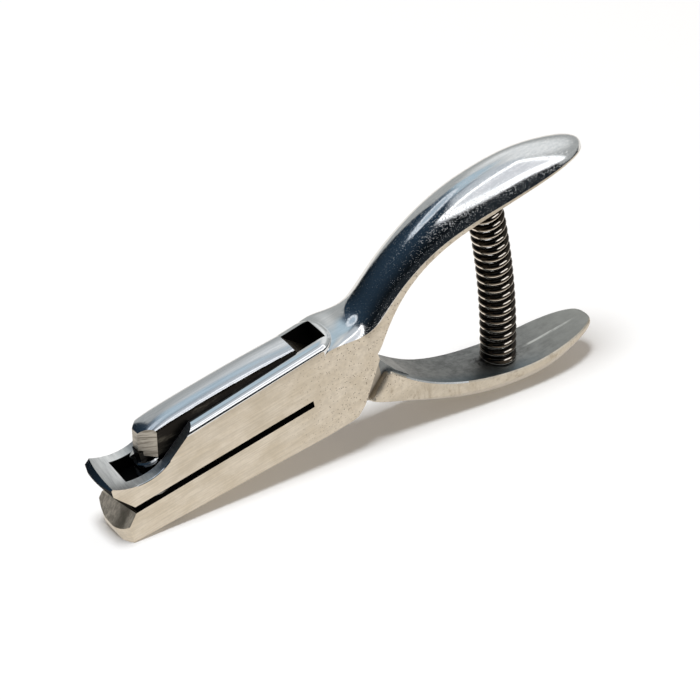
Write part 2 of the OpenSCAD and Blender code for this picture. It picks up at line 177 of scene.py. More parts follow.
# a dim panel, and below it the softbox, whose left edge slants, with a greyer inner part
SLANT = 0.65
slanted = azimuth + height * SLANT
room = window(-84, -36, 38, 62, 6).mix(room, (0.58, 0.62, 0.66))
softbox = window(-92, -43, -3, 40, 2) * slanted.between(-71, -67)
room = softbox.mix(room, (1.7, 1.7, 1.7))
inner = window(-88, -49, 8, 33, 2) * slanted.between(-63, -59)
room = inner.mix(room, (0.80, 0.81, 0.84))

# the overhead lamp as the steel mirrors it: a bright ring round a dimmer middle, whose
# edges are given as cosines of the angle from the lamp
MIRRORED_LAMP = Vector((-0.75, -0.25, 2)).normalized()
near_lamp = sky.node("VectorMath", {0: sky.node("TexCoord"), 1: MIRRORED_LAMP}, "Value",
                     operation="DOT_PRODUCT")
room = near_lamp.between(0.956, 0.966).mix(room, (0.80, 0.86, 0.92))
room = near_lamp.between(0.983, 0.990).mix(room, (0.45, 0.54, 0.63))
seen = sky.node("LightPath", output="Is Glossy Ray").mix((0.36, 0.33, 0.30), room)
seen = sky.node("LightPath", output="Is Camera Ray").mix(seen, WHITE)
sky.node("OutputWorld", {"Surface": sky.node("Background", {"Color": seen})})

bpy.ops.mesh.primitive_plane_add(size=6)
table = bpy.context.object
table.name = "table"
paper = bpy.data.materials.new("white_table")
paper.use_nodes = True
paper.node_tree.nodes.clear()
sheet = Shade(paper.node_tree)
# steel mirrors the table dark at its near end and glowing warmly under the tool
y = sheet.node("SeparateXYZ", {0: sheet.node("TexCoord", output="Object")}, 1)
under_tool = y.between(-0.12, -0.09)
in_mirror = under_tool.mix((0.02, 0.025, 0.03), (0.80, 0.77, 0.73))
lit = under_tool.mix((0.0, 0.0, 0.0), (0.30, 0.29, 0.27))
glossy = sheet.node("LightPath", output="Is Glossy Ray")
colour = sheet.node("LightPath", output="Is Camera Ray").mix(glossy.mix(WHITE, lit), WHITE)
diffuse = sheet.node("BsdfDiffuse", {"Color": colour})
glow = sheet.node("Emission", {"Color": glossy.mix((0, 0, 0), in_mirror), "Strength": 0.82})
sheet.node("OutputMaterial", {"Surface": sheet.node("AddShader", {0: diffuse, 1: glow})})
table.data.materials.append(paper)

LAMP = Vector((-0.4, -0.1, 2))
bpy.ops.object.light_add(type="AREA", location=LAMP)
lamp = bpy.context.object
lamp.name = "overhead_lamp"
lamp.data.shape = "DISK"
lamp.data.size = 0.62
lamp.data.color = (0.94, 0.97, 1.0)
lamp.data.energy = 32
lamp.visible_glossy = False
lamp.rotation_euler = LAMP.to_track_quat("Z", "Y").to_euler()

# Body
# One steel forging: both jaws, the hollow body and the upper handle. It is forged a little
# wide, polished by hand, ground flat on both sides, and only then slotted and milled.
HALF = 5.8
REACH = 47.4


def finish(name):
    """A new material, its principled shader and the socket that its sums start from."""
    made = bpy.data.materials.new(name)
    made.use_nodes = True
    return made, made.node_tree.nodes["Principled BSDF"], Shade(made.node_tree)


def dress(shader, start, colour, roughness, bump=None, strength=0, distance=0):
    """Feeds one metal shader with a colour, a roughness and a bump, its distance in metres."""
    for name, value in (("Base Color", colour), ("Roughness", roughness)):
        if isinstance(value, Shade):
            start.tree.links.new(value.socket, shader.inputs[name])
        else:
            shader.inputs[name].default_value = (*value, 1) if isinstance(value, tuple) else value
    shader.inputs["Metallic"].default_value = 1.0
    if bump:
        lifted = start.node("Bump", {"Height": bump, "Strength": strength,
                                     "Distance": distance})
        start.tree.links.new(lifted.socket, shader.inputs["Normal"])


def in_slot(start):
    """The place on the tool in the slot frame, in millimetres."""
    place, turn, size = slot_frame.inverted().decompose()
    return start.node("Mapping", {"Vector": start.node("TexCoord", output="Object"),
                                  "Location": place, "Rotation": turn.to_euler(), "Scale": size})


def noise(start, stretch, detail=4.0, rough=0.6):
    """Cloudy noise with so many features in a millimetre along X, Y and Z of the slot."""
    place = start.node("Mapping", {"Vector": in_slot(start), "Scale": stretch})
    return start.node("TexNoise", {"Vector": place, "Scale": 1.0, "Detail": detail,
                                   "Roughness": rough})


def dots(start, cells, radius, share):
    """Small round spots: cells in a millimetre, their radius in cells and how many show."""
    place = start.node("Mapping", {"Vector": in_slot(start), "Scale": (cells, cells, cells)})
    near = start.node("TexVoronoi", {"Vector": place, "Scale": 1.0}, "Distance")
    cell = start.node("TexVoronoi", {"Vector": place, "Scale": 1.0}, "Color")
    pick = start.node("SeparateColor", {0: cell})
    return (1 - near.between(radius * 0.6, radius)) * pick.between(1 - share, 1.01 - share)


polished, shader, start = finish("polished_steel")
streaks = noise(start, (0.2, 2.5, 2.5))
x = start.node("SeparateXYZ", {0: in_slot(start)}, 0)
specks = dots(start, 3.4, 0.5, 0.5) * x.between(58, 64)
dress(shader, start, streaks.between(0.35, 0.65).mix((0.74, 0.76, 0.78), (0.82, 0.83, 0.84)),
      0.06 + 0.07 * streaks + 0.17 * specks, specks, 0.5, 0.00001)

ground, shader, start = finish("ground_steel")
x, y, z = (start.node("SeparateXYZ", {0: in_slot(start)}, i) for i in range(3))
grain = noise(start, (0.1, 1, 2.6), 5.0, 0.7)
blotch = noise(start, (0.16, 0.2, 0.22), 5.0, 0.65)
mottle = noise(start, (0.9, 0.9, 0.9), 4.0, 0.7)
rear = x.between(34, 60)
colour = blotch.between(0.32, 0.68).mix((0.66, 0.585, 0.475), (0.77, 0.70, 0.60))
colour = (0.4 - 0.4 * z.between(-14, -8)).mix(colour, (0.50, 0.46, 0.39))
colour = (grain.between(0.38, 0.62) * (0.34 - 0.2 * rear)).mix(colour, (0.44, 0.40, 0.33))
colour = (mottle.between(0.35, 0.7) * (0.12 + 0.3 * rear)).mix(colour, (0.46, 0.41, 0.34))
strokes = noise(start, (0.9, 0.5, 0.16), 4.0, 0.7).between(0.45, 0.72)
strokes = strokes * (1 - z.between(-13, -11)) * (1 - x.between(80, 96)) * 0.6
colour = strokes.mix(colour, (0.36, 0.30, 0.22))
pits = dots(start, 1.6, 0.27, 0.65) * (0.04 + 0.8 * rear * z.between(-14, -6))
colour = pits.mix(colour, (0.14, 0.11, 0.08))
rust = noise(start, (0.35, 0.35, 0.35), 4.0, 0.7).between(0.55, 0.72)
stain = rust * x.between(56, 68) * 0.55
colour = stain.mix(colour, (0.30, 0.24, 0.17))
dress(shader, start, colour, 0.26 + 0.12 * grain, grain - pits, 0.4, 0.00004)

milled, shader, start = finish("milled_steel")
brush = noise(start, (1.6, 0.1, 1.6), 4.0, 0.7)
colour = brush.between(0.3, 0.75).mix((0.86, 0.87, 0.87), (0.60, 0.61, 0.62))
dress(shader, start, colour, 0.3 + 0.1 * brush, brush, 0.3, 0.00004)

# near black inside the channel, the slot and the bores: scale, with painted shade; also used for
# a painted dark reflection under the nose
black, shader, start = finish("black_scale_and_shade")
dress(shader, start, (0.012, 0.012, 0.012), 0.6)

foot_skin, shader, start = finish("filed_foot")
file_marks = noise(start, (0.5, 1.1, 0.5), 4.0, 0.7)
y = start.node("SeparateXYZ", {0: in_slot(start)}, 1)
colour = file_marks.between(0.35, 0.65).mix((0.78, 0.73, 0.65), (0.42, 0.39, 0.34))
# painted shade: a dark band across the middle of the filed bevel
middle = y.between(-5.0, -3.4) * (1 - y.between(-2.6, 0.4))
colour = (middle * 0.8).mix(colour, (0.13, 0.12, 0.10))
dress(shader, start, colour, 0.38, file_marks, 0.5, 0.00008)


def choose(piece):
    """Makes one piece the only selected and the active one."""
    bpy.ops.object.select_all(action="DESELECT")
    bpy.context.view_layer.objects.active = piece
    piece.select_set(True)


def edit(piece, kind="FACE", test=lambda corners: True):
    """Edit mode on one piece, with the edges or faces selected whose corners pass a test."""
    choose(piece)
    mesh = piece.data
    parts = mesh.edges if kind == "EDGE" else mesh.polygons
    chosen = [test([mesh.vertices[i].co for i in part.vertices]) for part in parts]
    for group in (mesh.vertices, mesh.edges, mesh.polygons):
        group.foreach_set("select", [False] * len(group))
    for part, wanted in zip(parts, chosen):
        part.select = wanted
    bpy.ops.object.mode_set(mode="EDIT")
    bpy.ops.mesh.select_mode(type=kind)


def leave():
    """Back to object mode."""
    bpy.ops.object.mode_set(mode="OBJECT")


DOUBLED = 0.0005  # corners nearer than this are one


def tidy(piece):
    """Merges doubled corners and turns all faces outwards."""
    edit(piece)
    bpy.ops.mesh.remove_doubles(threshold=DOUBLED)
    bpy.ops.mesh.normals_make_consistent(inside=False)
    leave()


def paint(piece, skin, test):
    """Gives one material to the faces whose middle and direction pass a test."""
    if skin.name not in piece.data.materials:
        piece.data.materials.append(skin)
    index = piece.data.materials.find(skin.name)
    for face in piece.data.polygons:
        if test(face.center, face.normal):
            face.material_index = index


def block(name, low, high, skin):
    """A box primitive between two corners."""
    bpy.ops.mesh.primitive_cube_add(size=1)
    piece = bpy.context.object
    piece.name = name
    piece.scale = [b - a for a, b in zip(low, high)]
    piece.location = [(a + b) / 2 for a, b in zip(low, high)]
    bpy.ops.object.transform_apply(location=True, rotation=True, scale=True)
    piece.data.materials.append(skin)
    return piece


def plate(name, outline, low, high, skin, upright=False):
    """A flat piece: a ring of corners set on an outline seen from the side, and extruded.

    An upright one has its outline in plan instead, and is extruded upwards.
    """
    bpy.ops.mesh.primitive_circle_add(vertices=len(outline), fill_type="NGON")
    piece = bpy.context.object
    piece.name = name
    for corner, (x, other) in zip(piece.data.vertices, outline):
        corner.co = (x, other, low) if upright else (x, low, other)
    edit(piece)
    way = (0, 0, high - low) if upright else (0, high - low, 0)
    bpy.ops.mesh.extrude_region_move(TRANSFORM_OT_translate={"value": way})
    leave()
    tidy(piece)
    piece.data.materials.append(skin)
    return piece


def arc(x, y, radius, first, last, count=24):
    """Points of an arc between two angles in degrees."""
    turns = [math.radians(first + (last - first) * i / count) for i in range(count + 1)]
    return [(x + radius * math.cos(t), y + radius * math.sin(t)) for t in turns]


def rod(name, start_point, end_point, radius, skin, corners=96, end_radius=None):
    """A round bar or a cone between two points."""
    a, b = Vector(start_point), Vector(end_point)
    bpy.ops.mesh.primitive_cone_add(vertices=corners, radius1=radius, depth=(b - a).length,
                                    radius2=radius if end_radius is None else end_radius,
                                    location=(a + b) / 2,
                                    rotation=(b - a).to_track_quat("Z", "Y").to_euler())
    piece = bpy.context.object
    piece.name = name
    bpy.ops.object.transform_apply(location=True, rotation=True, scale=True)
    piece.data.materials.append(skin)
    return piece


def combine(piece, tool, operation):
    """Joins a tool to a piece, or cuts it off, and removes the tool."""
    choose(piece)
    step = piece.modifiers.new(operation, "BOOLEAN")
    step.operation = operation
    step.object = tool
    step.solver = "EXACT"
    step.material_mode = "TRANSFER"
    bpy.ops.object.modifier_apply(modifier=step.name)
    bpy.data.objects.remove(tool)


def loft(name, rings, creased, skins, skin_of, levels=2):
    """A closed skin through rings of points, smoothed, with some lengthwise lines kept crisp.

    The skin of each lengthwise strip of faces comes from its first column.
    """
    around, along = len(rings[0]), len(rings)
    bpy.ops.mesh.primitive_grid_add(x_subdivisions=around, y_subdivisions=along - 1)
    piece = bpy.context.object
    piece.name = name
    mesh = piece.data
    place = [divmod(i, around + 1) for i in range(len(mesh.vertices))]
    for corner, (row, column) in zip(mesh.vertices, place):
        corner.co = rings[row][column % around]
    for skin in skins:
        mesh.materials.append(skin)
    crease = mesh.attributes.new("crease_edge", "FLOAT", "EDGE")
    for edge in mesh.edges:
        (row, column), (other_row, other_column) = (place[i] for i in edge.vertices)
        if column == other_column and column in creased:
            crease.data[edge.index].value = 1.0
    for face in mesh.polygons:
        face.material_index = skin_of(min(place[i][1] for i in face.vertices))
    edit(piece)
    bpy.ops.mesh.remove_doubles(threshold=DOUBLED)
    bpy.ops.mesh.select_mode(type="EDGE")
    bpy.ops.mesh.select_all(action="DESELECT")
    bpy.ops.mesh.select_non_manifold()
    bpy.ops.mesh.fill_holes(sides=0)
    bpy.ops.mesh.select_all(action="SELECT")
    bpy.ops.mesh.normals_make_consistent(inside=False)
    leave()
    if not levels:
        return piece
    smooth = piece.modifiers.new("smooth", "SUBSURF")
    smooth.levels = smooth.render_levels = levels
    bpy.ops.object.modifier_apply(modifier=smooth.name)
    return piece


def handle_ring(grip, foot, crown, half, bevel=0.7, start_angle=17, arcs=10, power=2.0):
    """One section of a handle: a flat grip face, a flat ground side and a rounded back.

    The three places are (x, z): grip edge, foot of the rounding and its crown. The back is
    part of an ellipse, or of a squarer curve where the power is over 2.
    """
    bevel = min(bevel, half / 3)
    (gx, gz), (fx, fz), (cx, cz) = grip, foot, crown
    k = bevel / max(math.dist(grip, foot), 2 * bevel)
    under = [(gx, 0, gz), (gx, -0.5 * (half - bevel), gz), (gx, -(half - bevel), gz)]
    edge = [(gx + (fx - gx) * k, -half, gz + (fz - gz) * k),
            (fx + (gx - fx) * 0.05, -half, fz + (gz - fz) * 0.05)]
    wide = half / math.cos(math.radians(start_angle)) ** (2 / power)
    start_rise = math.sin(math.radians(start_angle)) ** (2 / power)
    back = []
    for i in range(arcs + 1):
        t = math.radians(start_angle + (180 - 2 * start_angle) * i / arcs)
        rise = (math.sin(t) ** (2 / power) - start_rise) / (1 - start_rise)
        out = math.copysign(abs(math.cos(t)) ** (2 / power), math.cos(t))
        back.append((fx + (cx - fx) * rise, -wide * out, fz + (cz - fz) * rise))
    mirrored = [(x, -y, z) for x, y, z in reversed(edge)]
    return under + edge + back + mirrored + [(x, -y, z) for x, y, z in reversed(under[1:])]


# section of the upper handle: grip edge, foot of the rounding, crown, half width,
# squareness, and how the crown leans up towards the far side
UPPER = [((51, 2.0), (51.0, 12.3), (51.0, 13.2), HALF + 0.35, 2.6, 0.08),
         ((55.0, 2.5), (55.0, 12.3), (55.0, 13.3), HALF + 0.35, 2.6, 0.14),
         ((57.6, 2.8), (57.4, 11.8), (57.2, 13.4), HALF + 0.3, 2.6, 0.17),
         ((60, 3.0), (59.8, 11.2), (59.4, 13.5), HALF + 0.2, 2.5, 0.16),
         ((63.2, 2.9), (62.3, 11.0), (61.9, 14.0), HALF + 0.1, 2.3, 0.13),
         ((65.9, 3.2), (64.7, 10.9), (64.2, 15.2), HALF + 0.08, 2.2, 0.07),
         ((67.9, 6.2), (67.0, 11.9), (66.4, 17.1), 5.8, 2.1, 0.02),
         ((71.0, 10.5), (70.2, 14.3), (69.4, 19.8), 5.75, 2.1, 0),
         ((75.2, 14.8), (74.2, 17.3), (73.2, 22.6), 5.75, 2.1, 0),
         ((80.0, 18.1), (79.0, 20.1), (78.0, 25.6), 5.82, 2.1, 0),
         ((85.5, 20.5), (84.6, 22.4), (83.8, 28.5), 5.95, 2.1, 0),
         ((91.0, 21.8), (90.4, 23.7), (89.8, 30.8), 6.08, 2.1, 0),
         ((97.0, 22.5), (96.8, 24.3), (96.5, 32.4), 6.18, 2.0, 0),
         ((104.0, 22.9), (104.0, 24.4), (104.5, 32.85), 6.2, 2.0, 0),
         ((111.0, 23.15), (111.0, 24.45), (111.5, 32.55), 6.08, 2.0, 0),
         ((117.3, 23.4), (117.3, 24.5), (117.8, 31.1), 5.75, 2.0, 0),
         ((122.9, 23.6), (122.9, 24.6), (123.4, 29.1), 5.05, 2.0, 0),
         ((127.3, 23.7), (127.3, 24.5), (127.8, 27.2), 3.75, 2.0, 0),
         ((129.8, 23.8), (129.8, 24.2), (130.1, 25.2), 1.6, 2.0, 0)]

rings = [[(x, y, z + lean * (y + half)) for x, y, z in handle_ring(g, f, c, half, power=power)]
         for g, f, c, half, power, lean in UPPER]
around = len(rings[0])
crisp = {2, 3, 4, around - 4, around - 3, around - 2}
body = loft("frame_forging", rings, crisp, [polished, ground],
            lambda column: 0 if 4 <= column < around - 4 else 1)

# jaws and hollow body: a long block with a rim that rises to the rear
RIM_FRONT, RIM_Z, RIM_SLOPE, RIM_R = 16.9, 13.8, 2.2, 2.2
LAND_END, LAND_R = 57.3, 5.2
WIDE = HALF + 0.05
jaws = block("jaws", (-8, -WIDE, -12), (LAND_END, WIDE, RIM_Z), polished)
for corner in jaws.data.vertices:
    if corner.co.z > 0:
        corner.co.z += math.tan(math.radians(RIM_SLOPE)) * (corner.co.x - RIM_FRONT)
edit(jaws, "EDGE", lambda c: all(p.x > LAND_END - 0.1 for p in c) and c[0].y == c[1].y)
bpy.ops.mesh.bevel(offset=LAND_R, segments=14, affect="EDGES")
leave()
edit(jaws, "EDGE", lambda c: all(p.z > 5 for p in c) and max(p.x for p in c) > 0)
bpy.ops.mesh.bevel(offset=RIM_R, segments=9, affect="EDGES")
leave()
JAW_SIDE = [(-3.1, 0), (-4.6, -3.4), (-3.9, -7.2), (49, -10.1), (55.5, -10.1), (57.4, -9.8),
            (59.6, -7.8), (62, -4), (62, 25), (-6, 25), (-6, 10.6), (0.3, 1.6), (0.3, 0)]
combine(jaws, plate("jaw_side", JAW_SIDE, -9, 9, ground), "INTERSECT")
HEEL = [(50, -10.1), (55.5, -10.1), (57.4, -9.8), (59.6, -7.8), (65.8, 2.4), (65.2, 6),
        (63.4, 10), (58, 11), (50, 11)]
combine(jaws, plate("heel", HEEL, -WIDE, WIDE, ground), "UNION")
combine(body, jaws, "UNION")

# grinding: both sides flat, the nose bowed in plan, the foot of the lower jaw round
for side in (-1, 1):
    near, far = sorted((side * HALF, side * 9))
    combine(body, block("grinder", (-10, near, -20), (68, far, 13.9), ground), "DIFFERENCE")
BOW, BOW_X = 18, 13.1
TIP_LOW, TIP_HIGH, TIP_SLOPE = 9.5, 16.5, 0.8
waste = block("nose_waste", (-20, -15, 1.6), (-1, 15, 30), polished)
combine(waste, rod("nose_bow", (BOW_X, 0, -5), (BOW_X, 0, TIP_LOW), BOW, polished, 256),
        "DIFFERENCE")
combine(waste, rod("tip_bow", (BOW_X, 0, TIP_LOW), (BOW_X, 0, TIP_HIGH), BOW, polished, 256,
                   BOW - (TIP_HIGH - TIP_LOW) / TIP_SLOPE), "DIFFERENCE")
combine(body, waste, "DIFFERENCE")
FOOT_R, FOOT_X, FOOT_Y, FOOT_STRETCH = 8.4, 3.8, 0.5, 1.12
waste = block("foot_waste", (-20, -15, -20), (FOOT_X, 15, 0.8), ground)
foot = rod("foot", (FOOT_X, FOOT_Y, -30), (FOOT_X, FOOT_Y, 5), FOOT_R, ground, 128)
foot.data.transform(Matrix.Scale(FOOT_STRETCH, 4, (0, 1, 0)))
combine(waste, foot, "DIFFERENCE")
combine(waste, block("foot_rest", (FOOT_X - 2, -20, -30), (30, 20, 20), ground), "DIFFERENCE")
combine(body, waste, "DIFFERENCE")
BEVEL_X, BEVEL_TURN, BEVEL_LEAN = -1.05, math.radians(10), math.radians(41)
bevel = block("foot_bevel", (-12, -16, -10), (0, 16, 12), foot_skin)
bevel.data.transform(Matrix.Translation((BEVEL_X, 0, 0)) @ Matrix.Rotation(BEVEL_TURN, 4, "Z")
                     @ Matrix.Rotation(BEVEL_LEAN, 4, "Y"))
combine(bevel, block("bevel_limit", (-15, -20, -20), (3, 20, 0.8), foot_skin), "INTERSECT")
combine(body, bevel, "DIFFERENCE")

# milling and boring: the scoop, the channel for the lever, the slot and the bores
# The scoop is one arc down to its lowest line, a tighter one up from it, and a ramp, all
# leaning towards the near side.
SCOOP_X, FRONT_Z, FRONT_R, BACK_Z, BACK_R = 5.2, 21.3, 14, 17.7, 10.4
RAMP, SCOOP_LEAN = 34.5, math.radians(7)
profile = arc(SCOOP_X, FRONT_Z, FRONT_R, 200, 270)
profile += arc(SCOOP_X, BACK_Z, BACK_R, 270, 270 + RAMP)[1:]
x, z = profile[-1]
profile += [(x + 20 * math.cos(math.radians(RAMP)), z + 20 * math.sin(math.radians(RAMP))),
            (x, 45), (-30, 45)]
scoop = plate("scoop", profile, -40, 40, milled)
scoop.data.transform(Matrix.Rotation(SCOOP_LEAN, 4, "X"))
combine(body, scoop, "DIFFERENCE")
CHANNEL = [(0.6, 4.2), (0.6, 50), (55, 50), (55, 9.4), (57.2, 8), (68.4, 6.2), (90, 6.2),
           (90, -40), (54, -40), (54, -7.2), (48.4, -7.2), (48.4, 2.6), (45.8, 4.2)]
CHANNEL_HALF = 3.55
combine(body, plate("channel", CHANNEL, -CHANNEL_HALF, CHANNEL_HALF, black), "DIFFERENCE")
SLOT_HIGH = 1.8
slot = [(0, 0), (REACH, 0), (REACH, SLOT_HIGH), (0, SLOT_HIGH)]
combine(body, plate("slot", slot, -20, 20, black), "DIFFERENCE")
PUNCH_X = 8
for name, low, high, radius in (("guide_bore", 0.8, 5, 3.04), ("die_seat", -4, 0.8, 4.5),
                                ("chip_hole", -30, -3.9, 3.6)):
    combine(body, rod(name, (PUNCH_X, 0, low), (PUNCH_X, 0, high), radius, black), "DIFFERENCE")
combine(body, rod("pivot_bore", (PIVOT_X, -20, PIVOT_Z), (PIVOT_X, 20, PIVOT_Z), 2.4, black),
        "DIFFERENCE")
tidy(body)
EDGE_FRONT, EDGE_REAR, EDGE_NEAR = 1.4, 11, 0.12


def on_scoop_edge(corners):
    """True for the edges where the scoop's two arcs meet the sides, from behind the tip."""
    for c in corners:
        middle, radius = (FRONT_Z, FRONT_R) if c.x < SCOOP_X else (BACK_Z, BACK_R)
        arc_z = middle - math.sqrt(max(radius ** 2 - (c.x - SCOOP_X) ** 2, 0))
        upright_z = c.z * math.cos(SCOOP_LEAN) - c.y * math.sin(SCOOP_LEAN)
        on_side = abs(abs(c.y) - HALF) < 0.002
        on_arc = EDGE_FRONT < c.x < EDGE_REAR and abs(upright_z - arc_z) < EDGE_NEAR
        if not (on_side and on_arc):
            return False
    return True


# the scoop's edges are worn bright, and the face under the nose is painted black as a painted
# dark reflection
edit(body, "EDGE", on_scoop_edge)
bpy.ops.mesh.bevel(offset=0.2, segments=2, affect="EDGES", clamp_overlap=False,
                   material=body.data.materials.find(polished.name))
leave()
paint(body, black, lambda c, n: c.x < 0.6 and 1.4 < c.z < 9.4 and n.z < 0.1 and n.x < -0.3)


def settle(piece, angle):
    """Puts a finished piece in place and smooths its faces up to an angle in degrees."""
    piece.data.transform(slot_frame)
    choose(piece)
    bpy.ops.object.shade_smooth_by_angle(angle=math.radians(angle))


settle(body, 20)
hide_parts("body")
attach(body, "frame")

# Lever
# The second steel forging: the lower handle, its boss on the pivot pin and the arm that
# shows between the rims. The grip's inner face is left as forged, the rest is ground.
forged, shader, start = finish("forged_grey")
x, y, z = (start.node("SeparateXYZ", {0: in_slot(start)}, i) for i in range(3))
cloud = noise(start, (0.3, 0.3, 0.3), 6.0, 0.7)
drawn = noise(start, (0.22, 1.3, 1.3), 5.0, 0.7)
colour = cloud.between(0.3, 0.7).mix((0.17, 0.175, 0.175), (0.33, 0.335, 0.33))
colour = (drawn.between(0.4, 0.7) * 0.5).mix(colour, (0.42, 0.425, 0.42))
colour = (x.between(96, 124) * 0.6).mix(colour, (0.50, 0.50, 0.47))
blue = (0.75 - 0.75 * y.between(-6.6, -1.5)) * (1 - x.between(96, 112))
colour = blue.mix(colour, (0.15, 0.20, 0.235))
scratch = (1 - (y * y).between(0.02, 0.2)) * x.between(105, 108) * (1 - x.between(117, 122))
colour = (scratch * drawn.between(0.3, 0.55)).mix(colour, (0.75, 0.75, 0.72))
# painted shade: the grip face darkened in clouds round the spring's lower seat
shade_round_spring = (1 - (y * y).between(1.0, 8.0)) * x.between(89, 94) * (1 - x.between(103, 109))
colour = (shade_round_spring * cloud.between(0.45, 0.6) * 0.9).mix(colour, (0.03, 0.03, 0.03))
dress(shader, start, colour, 0.38 + 0.15 * drawn, drawn, 0.4, 0.00006)
crown_skin, shader, start = finish("brushed_crown")
brush = noise(start, (0.08, 2.4, 2.4), 5.0, 0.7)
dress(shader, start, brush.between(0.35, 0.7).mix((0.78, 0.80, 0.83), (0.66, 0.69, 0.73)),
      0.13 + 0.12 * brush, brush, 0.3, 0.00002)
# oiled steel painted dark: oil, with painted shade, on the arm inside the body and on the lobe
# under the nose
oily_and_shaded, shader, start = finish("oily_dark_and_shaded")
dirt = noise(start, (0.12, 0.5, 0.5), 5.0, 0.7)
dress(shader, start, dirt.between(0.5, 0.8).mix((0.018, 0.016, 0.014), (0.13, 0.12, 0.10)),
      0.35)
# painted shade: dull brown steel for the arm's sides at the throat and the front of the lower
# handle's root
painted_shade, shader, start = finish("painted_shade_steel")
shade_mottle = noise(start, (0.4, 0.4, 0.4))
dress(shader, start, shade_mottle.mix((0.50, 0.455, 0.39), (0.30, 0.27, 0.23)), 0.4)
facet_skin, shader, start = finish("milled_facets")
lines = noise(start, (0.25, 0.25, 3.2), 4.0, 0.7)
dress(shader, start, lines.between(0.4, 0.62).mix((0.50, 0.47, 0.42), (0.24, 0.22, 0.19)), 0.35,
      lines, 0.5, 0.00008)

# section of the lower handle: grip edge, foot of the rounding, crown and half width
LOWER = [((67.4, -2.7), (61.2, -8.4), (60.4, -9.3), 4.6),
         ((69.3, -4.9), (63.8, -10.2), (63.3, -11.1), 5.3),
         ((72.3, -8.2), (68.8, -12.9), (68.4, -14.3), 5.32),
         ((77, -12.6), (74.8, -16.1), (74.4, -18.3), 5.54),
         ((82.2, -16), (80.8, -19.0), (80.4, -22), 5.94),
         ((88, -18.9), (87.2, -21.6), (86.8, -25.4), 6.45),
         ((94, -21.1), (93.6, -23.5), (93.3, -28), 6.78),
         ((100, -22.8), (99.9, -24.8), (99.8, -29.8), 7.0),
         ((106, -24), (106, -25.8), (106.4, -31), 7.0),
         ((111.35, -24.23), (111.35, -25.9), (111.8, -30.8), 6.72),
         ((116.5, -24.44), (116.5, -25.9), (116.9, -29.34), 5.95),
         ((121, -24.63), (121, -26.0), (121.4, -27.7), 4.62),
         ((124.6, -24.78), (124.6, -25.68), (125.0, -26.46), 2.38)]
rings = [handle_ring(g, f, c, half, bevel=0.3) for g, f, c, half in LOWER]
lever = loft("lever_forging", rings, crisp, [forged, ground],
             lambda column: 1 if 2 <= column < around - 2 else 0)

# the arm with its bevelled nose, a crowned top and the lobe that carries the punch
ARM_HALF, NOSE_HALF, HOOD_HALF = 3.45, 3.45 + 0.1, 3.45 + 0.03
EDGE_Z, NOSE_LEAN = 15.4, 0.2
LEVER_SIDE = [(6, 19.8), (6, 10), (6.7, 10), (9, 9.2), (14, 8.8), (44.5, 6.2), (46.4, 5.2),
              (49.1, 3.1), (48.6, -2.1), (49.8, -5), (52.7, -6.2), (58.8, -8.1), (61.6, -9.2),
              (68, -13), (73, -13), (75.5, -12.4), (73, -8.6), (70, -5.1), (66.7, 0.1),
              (65.4, 1.1), (58, 4.6), (52.6, 9.4), (47.2, 15.4), (45.6, 19.8)]
arm = plate("arm", LEVER_SIDE, -ARM_HALF, ARM_HALF, ground)
NOSE = [(7.25, -0.8), (10.8, -NOSE_HALF), (99, -NOSE_HALF), (99, NOSE_HALF),
        (9.6, NOSE_HALF), (7.25, 1.5)]
plan = plate("arm_plan", NOSE, -30, 40, facet_skin, upright=True)
for corner in plan.data.vertices:
    if corner.co.x < 50:
        corner.co.x += NOSE_LEAN * (corner.co.z - EDGE_Z)
combine(arm, plan, "INTERSECT")
# place along the arm, height of the crown's edge and of its crest
HOOD = [(4, 12.9, 13.1), (6, 14.4, 14.8), (7.2, 15.1, 15.7), (8.4, 15.3, 16.5),
        (9.8, 15.35, 17.05), (11.5, 15.4, 17.4), (13.5, 15.4, 17.65), (17, 15.4, 17.85),
        (24, 15.4, 17.95), (34, 15.4, 17.9), (41, 15.4, 17.55), (47.2, 15.4, 17.0),
        (53, 15.4, 16.5)]
rings = []
for x, edge, crest in HOOD:
    turns = [math.pi * i / 12 for i in range(13)]
    top = [(x, -HOOD_HALF * math.cos(t), edge + (crest - edge) * math.sin(t) ** 0.9)
           for t in turns]
    rings.append([(x, y, edge - 2) for y in (HOOD_HALF, 0, -HOOD_HALF)] + top)
hood = loft("hood", rings, {0, 2}, [crown_skin], lambda column: 0, levels=3)
combine(hood, block("under_hood", (-6, -5, -40), (99, 5, 14.2), ground), "UNION")
combine(arm, hood, "INTERSECT")
LOBE = [(6.1, 11), (6.1, 5.05), (6.5, 4.65), (10.1, 4.65), (10.5, 5.05), (10.5, 11)]
combine(arm, plate("lobe", LOBE, -1.5, 1.5, oily_and_shaded), "UNION")
# inside the body the arm is oiled and painted dark as shade, towards the throat its sides carry
# painted shade, and behind that it is as forged
ARM_REAR, THROAT = 66.3, 57
edit(arm)
for x in (ARM_REAR, THROAT):
    bpy.ops.mesh.select_all(action="SELECT")
    bpy.ops.mesh.bisect(plane_co=(x, 0, 0), plane_no=(1, 0, 0))
leave()
paint(arm, oily_and_shaded, lambda c, n: c.x < ARM_REAR and (abs(n.y) > 0.9 or c.z < 9.5 and c.x < 48))
paint(arm, painted_shade, lambda c, n: c.x > THROAT - 1 and abs(n.y) > 0.9)
paint(arm, forged, lambda c, n: c.x > 64 and n.z > 0.3 or c.x > ARM_REAR)
paint(lever, polished, lambda c, n: 72 < c.x < 86 and n.z > 0.3 and n.y < -0.25)
# painted shade at the front of the lower handle's root, beside the tongue
paint(lever, painted_shade, lambda c, n: c.x < 68 and n.x < -0.45 and n.z > 0.2)
combine(lever, arm, "UNION")
combine(lever, rod("lever_bore", (PIVOT_X, -20, PIVOT_Z), (PIVOT_X, 20, PIVOT_Z), 2.45, black),
        "DIFFERENCE")
tidy(lever)
settle(lever, 20)
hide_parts("lever")
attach(lever, "lever_arm")
